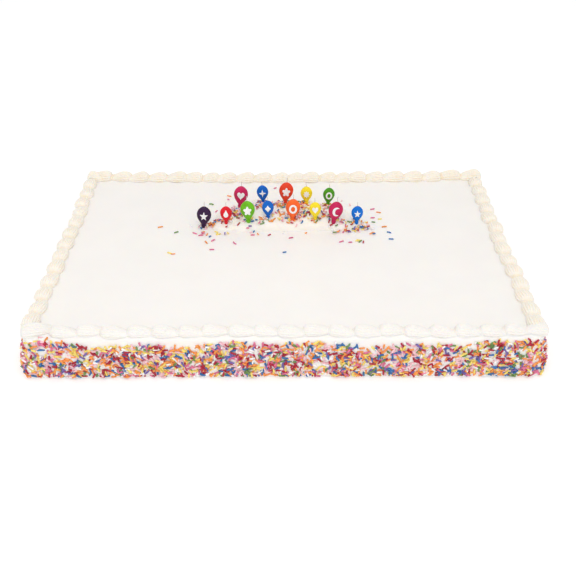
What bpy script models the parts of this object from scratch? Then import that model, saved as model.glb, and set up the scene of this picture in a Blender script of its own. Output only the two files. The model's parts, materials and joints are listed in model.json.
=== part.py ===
"""A rectangular full-sheet birthday cake with balloon candles.

The cake is one iced block with sprinkles pressed into its four sides. A piped shell border
runs round the top edge, in four strips. A lobed mound of icing near the back of the top
carries two rows of wax balloon candles, each with a wick and a raised white ornament.

Frame: metres, +Z up. The origin is the bottom centre of the cake. +X runs along the long
side, and -Y is the front, where the candles face.
"""
import math
import random

import bmesh
import bpy
from mathutils import Matrix, Vector
from mathutils.bvhtree import BVHTree

MM = 0.001
SEED = 24

# Driving sizes of the cake
BORDER_LENGTH = 610 * MM      # outer reach of the piped border along X
BORDER_WIDTH = 406 * MM       # outer reach of the piped border along Y
TOP_HEIGHT = 55 * MM          # from the underside to the flat iced top
CORNER_RADIUS = 9 * MM
CORNER_STEPS = 4
# Side profile: height, and how far the icing stands out past the border's outer edge, or short of it
SIDE_PROFILE = [
    (0.0 * MM, 2.4 * MM),
    (1.6 * MM, 3.4 * MM),
    (21.0 * MM, 2.6 * MM),
    (42.0 * MM, 0.6 * MM),
    (52.5 * MM, -0.8 * MM),
    (TOP_HEIGHT, -3.0 * MM),
]
GAP = 0.3 * MM                # left between pieces that touch

# Piped shell border
SHELL_WIDTH = 22 * MM
SHELL_HEIGHT = 12 * MM
SHELLS_FRONT = 21             # shells along the front, corners included
SHELLS_BACK = 22              # and along the back
SHELLS_END = 13               # shells along each end, between the corners
SHELL_UNEVEN = 0.07           # how much one shell's size differs from the next
CORNER_SHELL = 1.12           # height of a corner shell against the others
# One shell from its head to its tail: place along its pitch, width and height
SHELL_STATIONS = [(0.0, 0.70, 0.45), (0.12, 0.94, 0.86), (0.36, 1.0, 1.0), (0.74, 0.85, 0.66)]
# Across a shell: the tip's teeth leave ridges with grooves between them
ARCH_RIDGES = [1.0, 1.0, 0.89, 1.0, 0.89, 1.0, 1.0]
ARCH_FULLNESS = 0.75

# Sprinkles: thin sugar rods
SPRINKLE_RADIUS = 1.1 * MM
SPRINKLE_LENGTHS = (7.0 * MM, 10.0 * MM)
SPRINKLE_SIDES = 6
SPRINKLE_LIFT = 0.35 * MM     # how far a rod's axis stands off the icing
SPRINKLE_ROWS = 3
SPRINKLE_PITCH = 34.5 * MM    # along a side
SPRINKLE_BAND = (7.5 * MM, 44.5 * MM)
SPRINKLE_CLEARANCE = 1.0 * MM  # least distance from the underside and from the top

# Loose rods on the flat top: x, y in mm, and the angle from +X in degrees
LOOSE_SPRINKLES = [
    (-174, 45, 20), (-150, 31, 30), (-153, -22, -30), (-82, 134, -25), (-107, 109, -20),
    (-98, 89, 60), (-13, 159, 40), (-131, 48, -60), (-124, 28, -30), (-106, 4, -60),
    (-97, -14, 5), (-67, 2, -55), (-93, 26, 80), (-43, 21, 5), (-20, 23, 40), (0, 26, 70),
    (10, 13, 20), (1, -21, 15), (79, 5, 30), (93, 2, 10), (105, 10, 50), (113, 31, 15),
    (130, 95, 20), (139, 84, -20), (127, 70, 5), (140, 64, 15), (127, 56, -15),
    (142, 44, 10), (147, 29, -30), (148, 12, -5),
]

# Icing mound: centre x, y, reach in x, reach in y, and height of each lobe, all in mm
MOUND_LOBES = [
    (-72, 70, 26, 28, 12.5), (-38, 75, 33, 33, 19.5), (-4, 74, 36, 35, 20),
    (31, 73, 37, 35, 20), (62, 70, 31, 32, 18), (91, 61, 22, 21, 8),
    (-82, 51, 22, 15.5, 6.5), (-54, 47.5, 25, 14.5, 9), (-20, 48.5, 26, 15.5, 12),
    (13, 47, 26, 14, 11), (44, 48, 24, 13.5, 11.5), (74, 48, 24, 14, 9),
]
LOBE_SIDES = 10
LOBE_RINGS = 3
MOUND_SPRINKLES = 17
MOUND_SPRINKLE_SPACING = 9.5 * MM
MOUND_LEAST_DEPTH = 5.0 * MM  # icing needed under a sprinkle on the mound

# Balloon candles: outline from the neck upwards, as height and half width of a large one
BALLOON_OUTLINE = [
    (-4.0 * MM, 3.0 * MM),
    (1.6 * MM, 4.0 * MM),
    (4.6 * MM, 3.2 * MM),
    (9.4 * MM, 6.2 * MM),
    (14.6 * MM, 9.2 * MM),
    (20.6 * MM, 10.3 * MM),
    (26.6 * MM, 8.8 * MM),
    (31.2 * MM, 4.8 * MM),
]
BALLOON_TOP = 33 * MM
BALLOON_SIDES = 10
BALLOON_DEPTH = 0.46          # thickness of the balloon against its width
NECK_DEPTH = 0.85             # the same, at the neck
NECK_RINGS = 3
SMALL_CANDLE = 0.82           # size of a small candle against a large one
SOCKET_SIDES = 8
SOCKET_RADIUS = 4.6 * MM
SOCKET_DEPTH = 4.4 * MM
SOCKET_HEADROOM = 9 * MM
WICK_RADIUS = 0.55 * MM
WICK_LENGTH = 7.5 * MM
WICK_SIDES = 5
WICK_BENDS = [(0.0, 0.0), (0.55, 0.3 * MM), (1.0, 1.3 * MM)]
ORNAMENT_HEIGHT = 19.5 * MM   # height of an ornament's centre above the neck
ORNAMENT_RADIUS = 5.4 * MM
ORNAMENT_RELIEF = 0.9 * MM
ORNAMENT_GAP = 0.35 * MM
ORNAMENT_STRETCH = 1.25       # ornaments are a little taller than wide

WAX = {
    "purple": (0.060, 0.020, 0.085),
    "red": (0.720, 0.020, 0.030),
    "leaf_green": (0.150, 0.420, 0.020),
    "dark_green": (0.070, 0.260, 0.015),
    "blue": (0.010, 0.140, 0.560),
    "azure": (0.010, 0.200, 0.680),
    "orange": (0.850, 0.130, 0.020),
    "red_orange": (0.700, 0.060, 0.020),
    "yellow": (0.880, 0.680, 0.030),
    "crimson": (0.520, 0.020, 0.110),
}
# Candles: wax, x and y in mm, large or small, lean to the right in degrees, and ornament
CANDLES = [
    ("purple", -113, 45.5, "large", 5, "star"),
    ("red", -81, 45.5, "small", 2, "drop"),
    ("leaf_green", -49.5, 45, "large", -2, "flower"),
    ("blue", -22, 51, "small", 0, "diamond"),
    ("orange", 12, 46, "large", 3, "ring"),
    ("yellow", 44.5, 47, "small", -2, "heart"),
    ("crimson", 70, 43, "large", 7, "moon"),
    ("azure", 103, 48, "small", 0, "star"),
    ("crimson", -63, 82, "large", 6, "heart"),
    ("blue", -29.5, 84, "small", -2, "sparkle"),
    ("red_orange", 2, 79, "large", 5, "flower"),
    ("yellow", 33, 77, "small", -2, "sun"),
    ("dark_green", 63.5, 77.5, "small", 3, "ring"),
]


def clear_scene():
    """Remove every object that is in the scene."""
    for item in list(bpy.data.objects):
        bpy.data.objects.remove(item, do_unlink=True)


def make_material(name, color, roughness):
    """A plain Principled material of one colour."""
    material = bpy.data.materials.new(name)
    material.use_nodes = True
    shader = material.node_tree.nodes["Principled BSDF"]
    shader.inputs["Base Color"].default_value = (*color, 1.0)
    shader.inputs["Roughness"].default_value = roughness
    shader.inputs["Metallic"].default_value = 0.0
    return material


def make_object(name, mesh_data, material=None, smooth_angle=None):
    """Turn a bmesh into a named object of the scene, with its faces pointing outwards."""
    bmesh.ops.recalc_face_normals(mesh_data, faces=mesh_data.faces)
    mesh = bpy.data.meshes.new(name)
    mesh_data.to_mesh(mesh)
    mesh_data.free()
    if smooth_angle is not None:
        mesh.shade_smooth()
        mesh.set_sharp_from_angle(angle=math.radians(smooth_angle))
    item = bpy.data.objects.new(name, mesh)
    bpy.context.scene.collection.objects.link(item)
    if material is not None:
        mesh.materials.append(material)
    return item


def join_rings(rings, close_start=True, close_end=True):
    """Skin a row of closed rings, each with the same number of points."""
    mesh_data = bmesh.new()
    rows = [[mesh_data.verts.new(point) for point in ring] for ring in rings]
    count = len(rows[0])
    for lower, upper in zip(rows, rows[1:]):
        for i in range(count):
            j = (i + 1) % count
            mesh_data.faces.new((lower[i], lower[j], upper[j], upper[i]))
    if close_start:
        mesh_data.faces.new(list(reversed(rows[0])))
    if close_end:
        mesh_data.faces.new(rows[-1])
    return mesh_data


def apply_boolean(target, pieces, operation):
    """Cut the pieces from the target or join them to it, then drop them."""
    group = bpy.data.collections.new(target.name + "_pieces")
    bpy.context.scene.collection.children.link(group)
    for piece in pieces:
        group.objects.link(piece)
    step = target.modifiers.new(operation.lower(), "BOOLEAN")
    step.operation = operation
    step.operand_type = "COLLECTION"
    step.collection = group
    step.solver = "EXACT"
    bpy.context.view_layer.update()
    bpy.context.view_layer.objects.active = target
    bpy.ops.object.modifier_apply(modifier=step.name)
    for piece in pieces:
        bpy.data.objects.remove(piece, do_unlink=True)
    bpy.data.collections.remove(group)


def rounded_outline(half_x, half_y, radius):
    """Points round a rectangle with rounded corners, anticlockwise from above."""
    points = []
    corners = ((1, 1, 0.0), (-1, 1, 90.0), (-1, -1, 180.0), (1, -1, 270.0))
    for sign_x, sign_y, start in corners:
        centre = (sign_x * (half_x - radius), sign_y * (half_y - radius))
        for step in range(CORNER_STEPS + 1):
            angle = math.radians(start + 90.0 * step / CORNER_STEPS)
            points.append((centre[0] + radius * math.cos(angle), centre[1] + radius * math.sin(angle)))
    return points


def side_offset(height):
    """How far the icing stands out at a height, and how much that changes per metre of rise."""
    for (low, near), (high, far) in zip(SIDE_PROFILE, SIDE_PROFILE[1:]):
        if height <= high:
            slope = (far - near) / (high - low)
            return near + slope * (height - low), slope
    return SIDE_PROFILE[-1][1], 0.0


def iced_block(material):
    """The cake under its icing: rounded outlines joined up the side profile."""
    rings = []
    for height, offset in SIDE_PROFILE:
        outline = rounded_outline(BORDER_LENGTH / 2 + offset, BORDER_WIDTH / 2 + offset,
                                  CORNER_RADIUS + offset)
        rings.append([(x, y, height) for x, y in outline])
    return make_object("cake", join_rings(rings), material)


def sprinkle(place, normal, direction, length):
    """One sugar rod lying on a surface, half sunk in it."""
    mesh_data = bmesh.new()
    bmesh.ops.create_cone(mesh_data, cap_ends=True, segments=SPRINKLE_SIDES,
                          radius1=SPRINKLE_RADIUS, radius2=SPRINKLE_RADIUS, depth=length)
    turn = direction.to_track_quat("Z", "X").to_matrix().to_4x4()
    centre = place + normal * SPRINKLE_LIFT
    mesh_data.transform(Matrix.Translation(centre) @ turn)
    return make_object("rod", mesh_data)


def side_sprinkles(draw):
    """Rods spread evenly over the four sides, each row shifted by half a pitch."""
    rods = []
    sides = [
        (Vector((0, -1, 0)), BORDER_LENGTH, BORDER_WIDTH),
        (Vector((0, 1, 0)), BORDER_LENGTH, BORDER_WIDTH),
        (Vector((-1, 0, 0)), BORDER_WIDTH, BORDER_LENGTH),
        (Vector((1, 0, 0)), BORDER_WIDTH, BORDER_LENGTH),
    ]
    low, high = SPRINKLE_BAND
    row_step = (high - low) / (SPRINKLE_ROWS - 1)
    for outward, side_length, depth in sides:
        along = Vector((-outward.y, outward.x, 0))
        straight = side_length - 2 * CORNER_RADIUS
        columns = round(straight / SPRINKLE_PITCH)
        pitch = straight / columns
        for row in range(SPRINKLE_ROWS):
            for column in range(columns):
                shift = 0.25 if row % 2 else 0.75
                run = (column + shift + draw.uniform(-0.2, 0.2)) * pitch - straight / 2
                height = low + row * row_step + draw.uniform(-0.28, 0.28) * row_step
                length = draw.uniform(*SPRINKLE_LENGTHS)
                angle = draw.uniform(0, math.pi)
                rods.append(rod_on_side(outward, along, depth / 2, run, height, length, angle))
    return rods


def rod_on_side(outward, along, half_depth, run, height, length, angle):
    """A rod on one side wall, at a run along the side, a height and an angle."""
    reach = abs(math.sin(angle)) * length / 2 + SPRINKLE_RADIUS
    height = max(height, reach + SPRINKLE_CLEARANCE)
    height = min(height, TOP_HEIGHT - reach - SPRINKLE_CLEARANCE)
    offset, slope = side_offset(height)
    normal = (outward - Vector((0, 0, slope))).normalized()
    upward = normal.cross(along)
    if upward.z < 0:
        upward.negate()
    place = outward * (half_depth + offset) + along * run + Vector((0, 0, height))
    direction = along * math.cos(angle) + upward * math.sin(angle)
    return sprinkle(place, normal, direction, length)


def corner_sprinkles(draw):
    """Upright rods round each corner of the cake."""
    rods = []
    low, high = SPRINKLE_BAND
    for corner_x in (-1, 1):
        for corner_y in (-1, 1):
            outward = Vector((corner_x, corner_y, 0)).normalized()
            centre = Vector((corner_x * (BORDER_LENGTH / 2 - CORNER_RADIUS),
                             corner_y * (BORDER_WIDTH / 2 - CORNER_RADIUS), 0))
            for row in range(SPRINKLE_ROWS):
                height = low + (high - low) * row / (SPRINKLE_ROWS - 1)
                height = max(height, SPRINKLE_LENGTHS[0] / 2 + SPRINKLE_CLEARANCE)
                offset, slope = side_offset(height)
                along = Vector((-outward.y, outward.x, 0))
                lean = draw.uniform(-0.25, 0.25)
                direction = (Vector((0, 0, 1)) + outward * slope + along * lean).normalized()
                place = centre + outward * (CORNER_RADIUS + offset) + Vector((0, 0, height))
                rods.append(sprinkle(place, outward, direction, SPRINKLE_LENGTHS[0]))
    return rods


def loose_sprinkles(draw):
    """The rods that lie scattered on the flat top."""
    rods = []
    for x, y, degrees in LOOSE_SPRINKLES:
        angle = math.radians(degrees)
        direction = Vector((math.cos(angle), math.sin(angle), 0))
        place = Vector((x * MM, y * MM, TOP_HEIGHT))
        rods.append(sprinkle(place, Vector((0, 0, 1)), direction, draw.uniform(*SPRINKLE_LENGTHS)))
    return rods


def arch(width, height):
    """Points of a shell's cross-section, from its outer foot over the top to its inner foot."""
    points = []
    last = len(ARCH_RIDGES) - 1
    for i, ridge in enumerate(ARCH_RIDGES):
        angle = math.pi * i / last
        across = -math.cos(angle) * width / 2 * ridge
        up = (math.sin(angle) ** ARCH_FULLNESS if 0 < i < last else 0.0) * height * ridge
        points.append((across, up))
    return points


def shell_border(name, start, end, inward, shells, corners, material, draw):
    """One strip of piped shells from start to end, each head lapping over the tail before it."""
    axis = (end - start).normalized()
    pitch = (end - start).length / shells
    centre_line = inward * (SHELL_WIDTH / 2)
    rings = [shell_ring(start + centre_line, inward, 0.42, 0.30)]
    for shell in range(shells):
        size = 1 + draw.uniform(-SHELL_UNEVEN, SHELL_UNEVEN)
        tall = CORNER_SHELL if corners and shell in (0, shells - 1) else 1.0
        sway = inward * draw.uniform(-0.5, 0.5) * MM
        for along, wide, high in SHELL_STATIONS:
            if shell == 0 and along == 0.0:
                along = 0.05
            place = start + axis * (pitch * (shell + along)) + centre_line + sway * (wide > 0.9)
            rings.append(shell_ring(place, inward, size * wide, size * high * tall))
    rings.append(shell_ring(end + centre_line, inward, 0.36, 0.28))
    return make_object(name, join_rings(rings), material, smooth_angle=50)


def shell_ring(place, inward, width_scale, height_scale):
    """One cross-section of a border strip, standing across it."""
    ring = []
    for across, up in arch(SHELL_WIDTH * width_scale, SHELL_HEIGHT * height_scale):
        point = place + inward * across
        ring.append((point.x, point.y, TOP_HEIGHT + GAP + up))
    return ring


def make_borders(material, draw):
    """Front and back strips with the corner shells, and an end strip between them at each end."""
    half_x = BORDER_LENGTH / 2
    half_y = BORDER_WIDTH / 2
    inner = half_y - SHELL_WIDTH / 2 * (2 + SHELL_UNEVEN) - 0.5 * MM - GAP
    ahead = Vector((0, 1, 0))
    right = Vector((1, 0, 0))
    shell_border("border_front", Vector((-half_x, -half_y, 0)), Vector((half_x, -half_y, 0)),
                 ahead, SHELLS_FRONT, True, material, draw)
    shell_border("border_back", Vector((half_x, half_y, 0)), Vector((-half_x, half_y, 0)),
                 -ahead, SHELLS_BACK, True, material, draw)
    shell_border("border_left", Vector((-half_x, -inner, 0)), Vector((-half_x, inner, 0)),
                 right, SHELLS_END, False, material, draw)
    shell_border("border_right", Vector((half_x, -inner, 0)), Vector((half_x, inner, 0)),
                 -right, SHELLS_END, False, material, draw)


def mound_height(x, y):
    """Height of the icing mound above the flat top at a place, zero beside the mound."""
    height = 0.0
    for centre_x, centre_y, reach_x, reach_y, rise in MOUND_LOBES:
        away = ((x / MM - centre_x) / reach_x) ** 2 + ((y / MM - centre_y) / reach_y) ** 2
        if away < 1:
            height = max(height, rise * MM * math.sqrt(1 - away))
    return height


def mound_lobe(centre_x, centre_y, reach_x, reach_y, rise):
    """One domed lobe of the mound, flat underneath."""
    rings = []
    for ring in range(LOBE_RINGS):
        angle = math.pi / 2 * ring / LOBE_RINGS
        level = TOP_HEIGHT + GAP + rise * MM * math.sin(angle)
        points = []
        for side in range(LOBE_SIDES):
            turn = 2 * math.pi * side / LOBE_SIDES
            points.append((centre_x * MM + reach_x * MM * math.cos(angle) * math.cos(turn),
                           centre_y * MM + reach_y * MM * math.cos(angle) * math.sin(turn), level))
        rings.append(points)
    mesh_data = join_rings(rings, close_end=False)
    top = mesh_data.verts.new((centre_x * MM, centre_y * MM, TOP_HEIGHT + GAP + rise * MM))
    rim = [edge for edge in mesh_data.edges if edge.is_boundary]
    for edge in rim:
        mesh_data.faces.new((*edge.verts, top))
    return mesh_data


def icing_mound(material):
    """The mound's lobes, joined into one piece."""
    lobes = [make_object("lobe", mound_lobe(*lobe)) for lobe in MOUND_LOBES]
    mound = lobes.pop(0)
    mound.name = "icing_mound"
    mound.data.materials.append(material)
    apply_boolean(mound, lobes, "UNION")
    return mound


def mound_sprinkles(mound, draw):
    """Rods lying on the mound between the candles, spread by a least distance."""
    surface = BVHTree.FromObject(mound, bpy.context.evaluated_depsgraph_get())
    placed = []
    rods = []
    candle_places = [Vector((x * MM, y * MM, 0)) for _, x, y, _, _, _ in CANDLES]
    tries = 0
    while len(rods) < MOUND_SPRINKLES and tries < 4000:
        tries += 1
        spot = Vector((draw.uniform(-95, 105) * MM, draw.uniform(34, 95) * MM, 0))
        if mound_height(spot.x, spot.y) < MOUND_LEAST_DEPTH:
            continue
        if any((spot - other).length < MOUND_SPRINKLE_SPACING for other in placed + candle_places):
            continue
        place, normal, _, _ = surface.ray_cast(spot + Vector((0, 0, 1)), Vector((0, 0, -1)))
        angle = draw.uniform(0, math.pi)
        level = Vector((math.cos(angle), math.sin(angle), 0))
        direction = (level - normal * level.dot(normal)).normalized()
        rods.append(sprinkle(place, normal, direction, SPRINKLE_LENGTHS[0]))
        placed.append(spot)
    return rods


def candle_body(name, size, material):
    """A flattened wax balloon on a short neck, with its neck's visible foot at the origin."""
    rings = []
    for index, (height, half_width) in enumerate(BALLOON_OUTLINE):
        depth = NECK_DEPTH if index < NECK_RINGS else BALLOON_DEPTH
        points = []
        for side in range(BALLOON_SIDES):
            turn = 2 * math.pi * (side + 0.5) / BALLOON_SIDES
            points.append((half_width * size * math.cos(turn),
                           half_width * size * depth * math.sin(turn), height * size))
        rings.append(points)
    mesh_data = join_rings(rings, close_end=False)
    top = mesh_data.verts.new((0, 0, BALLOON_TOP * size))
    rim = [edge for edge in mesh_data.edges if edge.is_boundary]
    for edge in rim:
        mesh_data.faces.new((*edge.verts, top))
    return make_object(name, mesh_data, material, smooth_angle=60)


def candle_wick(name, size, material):
    """A thin wick that rises from the top of the balloon and bends a little."""
    rings = []
    for rise, bend in WICK_BENDS:
        height = BALLOON_TOP * size + GAP + rise * WICK_LENGTH * size
        points = []
        for side in range(WICK_SIDES):
            turn = 2 * math.pi * side / WICK_SIDES
            points.append((bend + WICK_RADIUS * math.cos(turn), WICK_RADIUS * math.sin(turn), height))
        rings.append(points)
    return make_object(name, join_rings(rings), material, smooth_angle=60)


def candle_socket(size):
    """The hole that a candle's neck stands in, as a cutter."""
    mesh_data = bmesh.new()
    depth = (SOCKET_DEPTH + SOCKET_HEADROOM) * size
    bmesh.ops.create_cone(mesh_data, cap_ends=True, segments=SOCKET_SIDES, depth=depth,
                          radius1=SOCKET_RADIUS * size, radius2=SOCKET_RADIUS * size)
    lift = (SOCKET_HEADROOM - SOCKET_DEPTH) * size / 2
    mesh_data.transform(Matrix.Translation((0, 0, lift)))
    return make_object("socket", mesh_data)


def polar_shape(count, radius_at):
    """A closed outline of so many points, its radius given by a rule of the angle's turn."""
    points = []
    for i in range(count):
        angle = math.pi / 2 + 2 * math.pi * i / count
        radius = radius_at(i, angle)
        points.append((radius * math.cos(angle), radius * math.sin(angle)))
    return points


def star_outline():
    return polar_shape(10, lambda i, angle: 0.45 if i % 2 else 1.05)


def sparkle_outline():
    return polar_shape(8, lambda i, angle: 0.38 if i % 2 else 1.1)


def sun_outline():
    return polar_shape(16, lambda i, angle: 0.66 if i % 2 else 1.0)


def diamond_outline():
    return polar_shape(8, lambda i, angle: 0.60 if i % 2 else 0.95)


def flower_outline():
    return polar_shape(15, lambda i, angle: 1.0 if i % 3 != 1 else 0.60)


def drop_outline():
    return polar_shape(12, lambda i, angle: 1.25 if i == 0 else 0.72 - 0.08 * math.sin(angle))


def heart_outline():
    """A heart as sixteen points of the usual sine curve, set about its own middle."""
    points = []
    for i in range(16):
        t = 2 * math.pi * i / 16
        x = 16 * math.sin(t) ** 3
        y = 13 * math.cos(t) - 5 * math.cos(2 * t) - 2 * math.cos(3 * t) - math.cos(4 * t)
        points.append((-x / 17, (y + 2) / 17))
    return points


def ring_strip():
    """Outer and inner points of a ring."""
    outer = polar_shape(12, lambda i, angle: 1.0)
    inner = polar_shape(12, lambda i, angle: 0.52)
    return outer, inner, True


def moon_strip():
    """Outer and inner points of a crescent, from its upper tip to its lower tip."""
    outer = []
    inner = []
    steps = 8
    for i in range(steps + 1):
        angle = math.radians(55 + 250 * i / steps)
        outer.append((math.cos(angle) + 0.15, math.sin(angle)))
        thickness = 0.07 + 0.58 * math.sin(math.pi * i / steps)
        inner.append(((1 - thickness) * math.cos(angle) + 0.15, (1 - thickness) * math.sin(angle)))
    return outer, inner, False


OUTLINES = {
    "star": star_outline, "sparkle": sparkle_outline, "sun": sun_outline, "drop": drop_outline,
    "diamond": diamond_outline, "flower": flower_outline, "heart": heart_outline,
}
STRIPS = {"ring": ring_strip, "moon": moon_strip}


def front_of(body, x, z):
    """Depth of the balloon's front at a place, in the candle's own frame."""
    surface = BVHTree.FromPolygons([v.co for v in body.data.vertices],
                                   [p.vertices for p in body.data.polygons])
    hit = surface.ray_cast(Vector((x, -1, z)), Vector((0, 1, 0)))[0]
    return hit.y


def candle_ornament(name, shape, body, size, material):
    """A raised white shape that follows the balloon's curved front at a small gap."""
    mesh_data = bmesh.new()
    scale = ORNAMENT_RADIUS * size

    def column(x, z):
        across = x * scale
        height = ORNAMENT_HEIGHT * size + z * scale * ORNAMENT_STRETCH
        back = front_of(body, across, height) - ORNAMENT_GAP
        near = mesh_data.verts.new((across, back - ORNAMENT_RELIEF * size, height))
        return near, mesh_data.verts.new((across, back, height))

    if shape in STRIPS:
        outer_points, inner_points, closed = STRIPS[shape]()
        outer = [column(*point) for point in outer_points]
        inner = [column(*point) for point in inner_points]
        pairs = list(zip(range(len(outer)), range(1, len(outer))))
        if closed:
            pairs.append((len(outer) - 1, 0))
        for i, j in pairs:
            mesh_data.faces.new((outer[i][0], outer[j][0], inner[j][0], inner[i][0]))
            mesh_data.faces.new((outer[i][1], inner[i][1], inner[j][1], outer[j][1]))
            mesh_data.faces.new((outer[i][0], outer[i][1], outer[j][1], outer[j][0]))
            mesh_data.faces.new((inner[i][0], inner[j][0], inner[j][1], inner[i][1]))
        if not closed:
            for k in (0, -1):
                mesh_data.faces.new((outer[k][0], inner[k][0], inner[k][1], outer[k][1]))
    else:
        rim = [column(*point) for point in OUTLINES[shape]()]
        centre = column(0, 0)
        for i, (near, far) in enumerate(rim):
            next_near, next_far = rim[(i + 1) % len(rim)]
            mesh_data.faces.new((near, next_near, centre[0]))
            mesh_data.faces.new((far, centre[1], next_far))
            mesh_data.faces.new((near, far, next_far, next_near))
    bmesh.ops.triangulate(mesh_data, faces=mesh_data.faces)
    return make_object(name, mesh_data, material)


def make_candle(number, wax, x, y, size_name, lean, shape, materials):
    """One candle: its balloon, wick and ornament, and the cutter for its socket."""
    size = SMALL_CANDLE if size_name == "small" else 1.0
    name = f"candle_{number:02d}"
    body = candle_body(name + "_body", size, materials[wax])
    wick = candle_wick(name + "_wick", size, materials["wick"])
    ornament = candle_ornament(f"{name}_{shape}", shape, body, size, materials["white_wax"])
    socket = candle_socket(size)
    body.location = (x * MM, y * MM, TOP_HEIGHT + GAP + mound_height(x * MM, y * MM))
    body.rotation_euler = (0, math.radians(lean), 0)
    for follower in (wick, ornament, socket):
        follower.parent = body
    return socket


def make_candles(materials):
    """All candles, with the socket cutters of those in the mound and of those beside it."""
    in_mound = []
    in_cake = []
    for number, (wax, x, y, size_name, lean, shape) in enumerate(CANDLES, start=1):
        socket = make_candle(number, wax, x, y, size_name, lean, shape, materials)
        (in_mound if mound_height(x * MM, y * MM) > 0 else in_cake).append(socket)
    return in_mound, in_cake


def make_materials():
    """Icing, wick, white wax and one wax for each balloon colour."""
    materials = {
        "icing": make_material("white_icing", (0.94, 0.92, 0.87), 0.55),
        "wick": make_material("wick_cotton", (0.30, 0.26, 0.22), 0.9),
        "white_wax": make_material("white_wax", (0.92, 0.92, 0.92), 0.4),
    }
    for wax, color in WAX.items():
        materials[wax] = make_material(wax + "_wax", color, 0.35)
    return materials


def main():
    """Build the whole cake."""
    clear_scene()
    draw = random.Random(SEED)
    materials = make_materials()
    cake = iced_block(materials["icing"])
    apply_boolean(cake, side_sprinkles(draw) + corner_sprinkles(draw) + loose_sprinkles(draw), "UNION")
    make_borders(materials["icing"], draw)
    mound = icing_mound(materials["icing"])
    in_mound, in_cake = make_candles(materials)
    apply_boolean(mound, mound_sprinkles(mound, draw), "UNION")
    apply_boolean(mound, in_mound, "DIFFERENCE")
    apply_boolean(cake, in_cake, "DIFFERENCE")


main()
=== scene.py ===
"""The looks of a full-sheet birthday cake with balloon candles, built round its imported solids.

The cake is iced first, then its border is piped, the mound is dolloped on, the candles are
set in and the sprinkles are thrown. Sizes are in metres; MM turns millimetres into them.
"""
import json
import math
import random

import bmesh
import bpy
import numpy as np
from mathutils import Matrix, Vector
from mathutils.bvhtree import BVHTree


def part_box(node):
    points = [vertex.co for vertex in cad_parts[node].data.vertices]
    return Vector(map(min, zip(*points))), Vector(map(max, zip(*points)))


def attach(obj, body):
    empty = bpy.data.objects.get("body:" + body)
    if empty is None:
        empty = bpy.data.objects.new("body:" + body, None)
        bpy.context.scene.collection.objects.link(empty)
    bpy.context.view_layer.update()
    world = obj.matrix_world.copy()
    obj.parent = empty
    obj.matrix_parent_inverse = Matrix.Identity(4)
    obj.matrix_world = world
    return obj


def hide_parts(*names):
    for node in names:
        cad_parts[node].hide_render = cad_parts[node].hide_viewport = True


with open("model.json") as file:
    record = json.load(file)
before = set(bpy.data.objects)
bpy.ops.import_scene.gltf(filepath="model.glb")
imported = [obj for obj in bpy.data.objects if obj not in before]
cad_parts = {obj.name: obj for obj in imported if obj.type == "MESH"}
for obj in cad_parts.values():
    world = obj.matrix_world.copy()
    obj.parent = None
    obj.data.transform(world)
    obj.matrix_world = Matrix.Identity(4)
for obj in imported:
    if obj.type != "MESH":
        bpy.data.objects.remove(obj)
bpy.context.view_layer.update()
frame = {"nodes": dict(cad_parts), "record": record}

MM = 0.001
SEED = 7

FRONT_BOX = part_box("border_front")
HALF_X = FRONT_BOX[1].x                       # outer reach of the border along X
HALF_Y = -FRONT_BOX[0].y                      # and along Y
TOP = FRONT_BOX[0].z - 0.3 * MM               # the flat iced top
SLOT_OF = {part["node"]: part["material_slot"] for part in frame["record"]["subparts"]}

# The camera, and the light round the cake
CAMERA_PLACE = (0.0008, -0.869, 0.608)
CAMERA_PITCH = 35.8           # degrees below the horizon
CAMERA_YAW = -0.33            # degrees
CAMERA_LENS = 47.1            # mm
CAMERA_SENSOR = 36            # mm
FLOOR_SIZE = 30.0
FLOOR_WHITE = 0.92
FLOOR_GLOW = 0.19             # light from within, which keeps the floor white
TENT_LEVEL = 0.718            # mean brightness of the white tent
TENT_LEAN = (0.04, -0.11, 0.22)   # how much brighter it is to the right, in front and overhead
KEY_PLACE = (-0.05, -0.6, 1.25)
KEY_TARGET = (0, -0.05, 0)
KEY_SIZE = 1.1
KEY_POWER = 4.6               # watts

# Uneven icing: grain, and how far it goes in and out together
WALL_WAVES = (0.035, 1.3 * MM)
TOP_WAVES = (0.11, 1.1 * MM)
BORDER_WAVES = (0.009, 0.8 * MM)
MOUND_WAVES = (0.012, 1.8 * MM)

# Iced block: height, and how far the icing stands out past the border's outer edge, in mm
SIDE_PROFILE = [(0.0, 2.4), (1.6, 3.4), (11, 3.1), (21, 2.6), (31.5, 1.6), (42, 0.1), (49, -1.6)]
FOOT = SIDE_PROFILE[0][1] * MM
CORNER_RADIUS = 9 * MM
CORNER_STEPS = 8              # faces round an upright corner
EDGE_ROUND = 4.5 * MM         # how far the rim of the top is drawn in
PANEL = 15 * MM               # spacing of the cuts that let the icing be uneven
WALL_BAND = (5 * MM, 4 * MM)  # the walls are uneven from this far up to this far under the top
TOP_MARGIN = 22 * MM          # the top is uneven from this far inside the border's outer edge
HAIR = 0.01 * MM              # how near a point has to be to count as level with a cut

# The creases of the piping get painted shade, a creamier tone. Feelers find them, and grooves add
# to them.
FEELERS = 12
FEELER_START = 0.25           # mm over the surface
FEELER_REACH = 7 * MM
FEELER_SLOPES = (1.3, 0.45)   # rise of every other feeler against its run
GROOVE_ROUNDS = 8             # rounds of smoothing that a groove is measured against
GROOVE_FULL = 0.85 * MM       # depth of a groove that has the full painted crease shade
# Share of feelers that meet icing where the painted crease shade starts, and where it is full
FRONT_CREASE_SHADE = (0.30, 1.0)
BORDER_CREASE_SHADE = (-0.05, 0.85)
MOUND_CREASE_SHADE = (0.10, 0.9)

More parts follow.
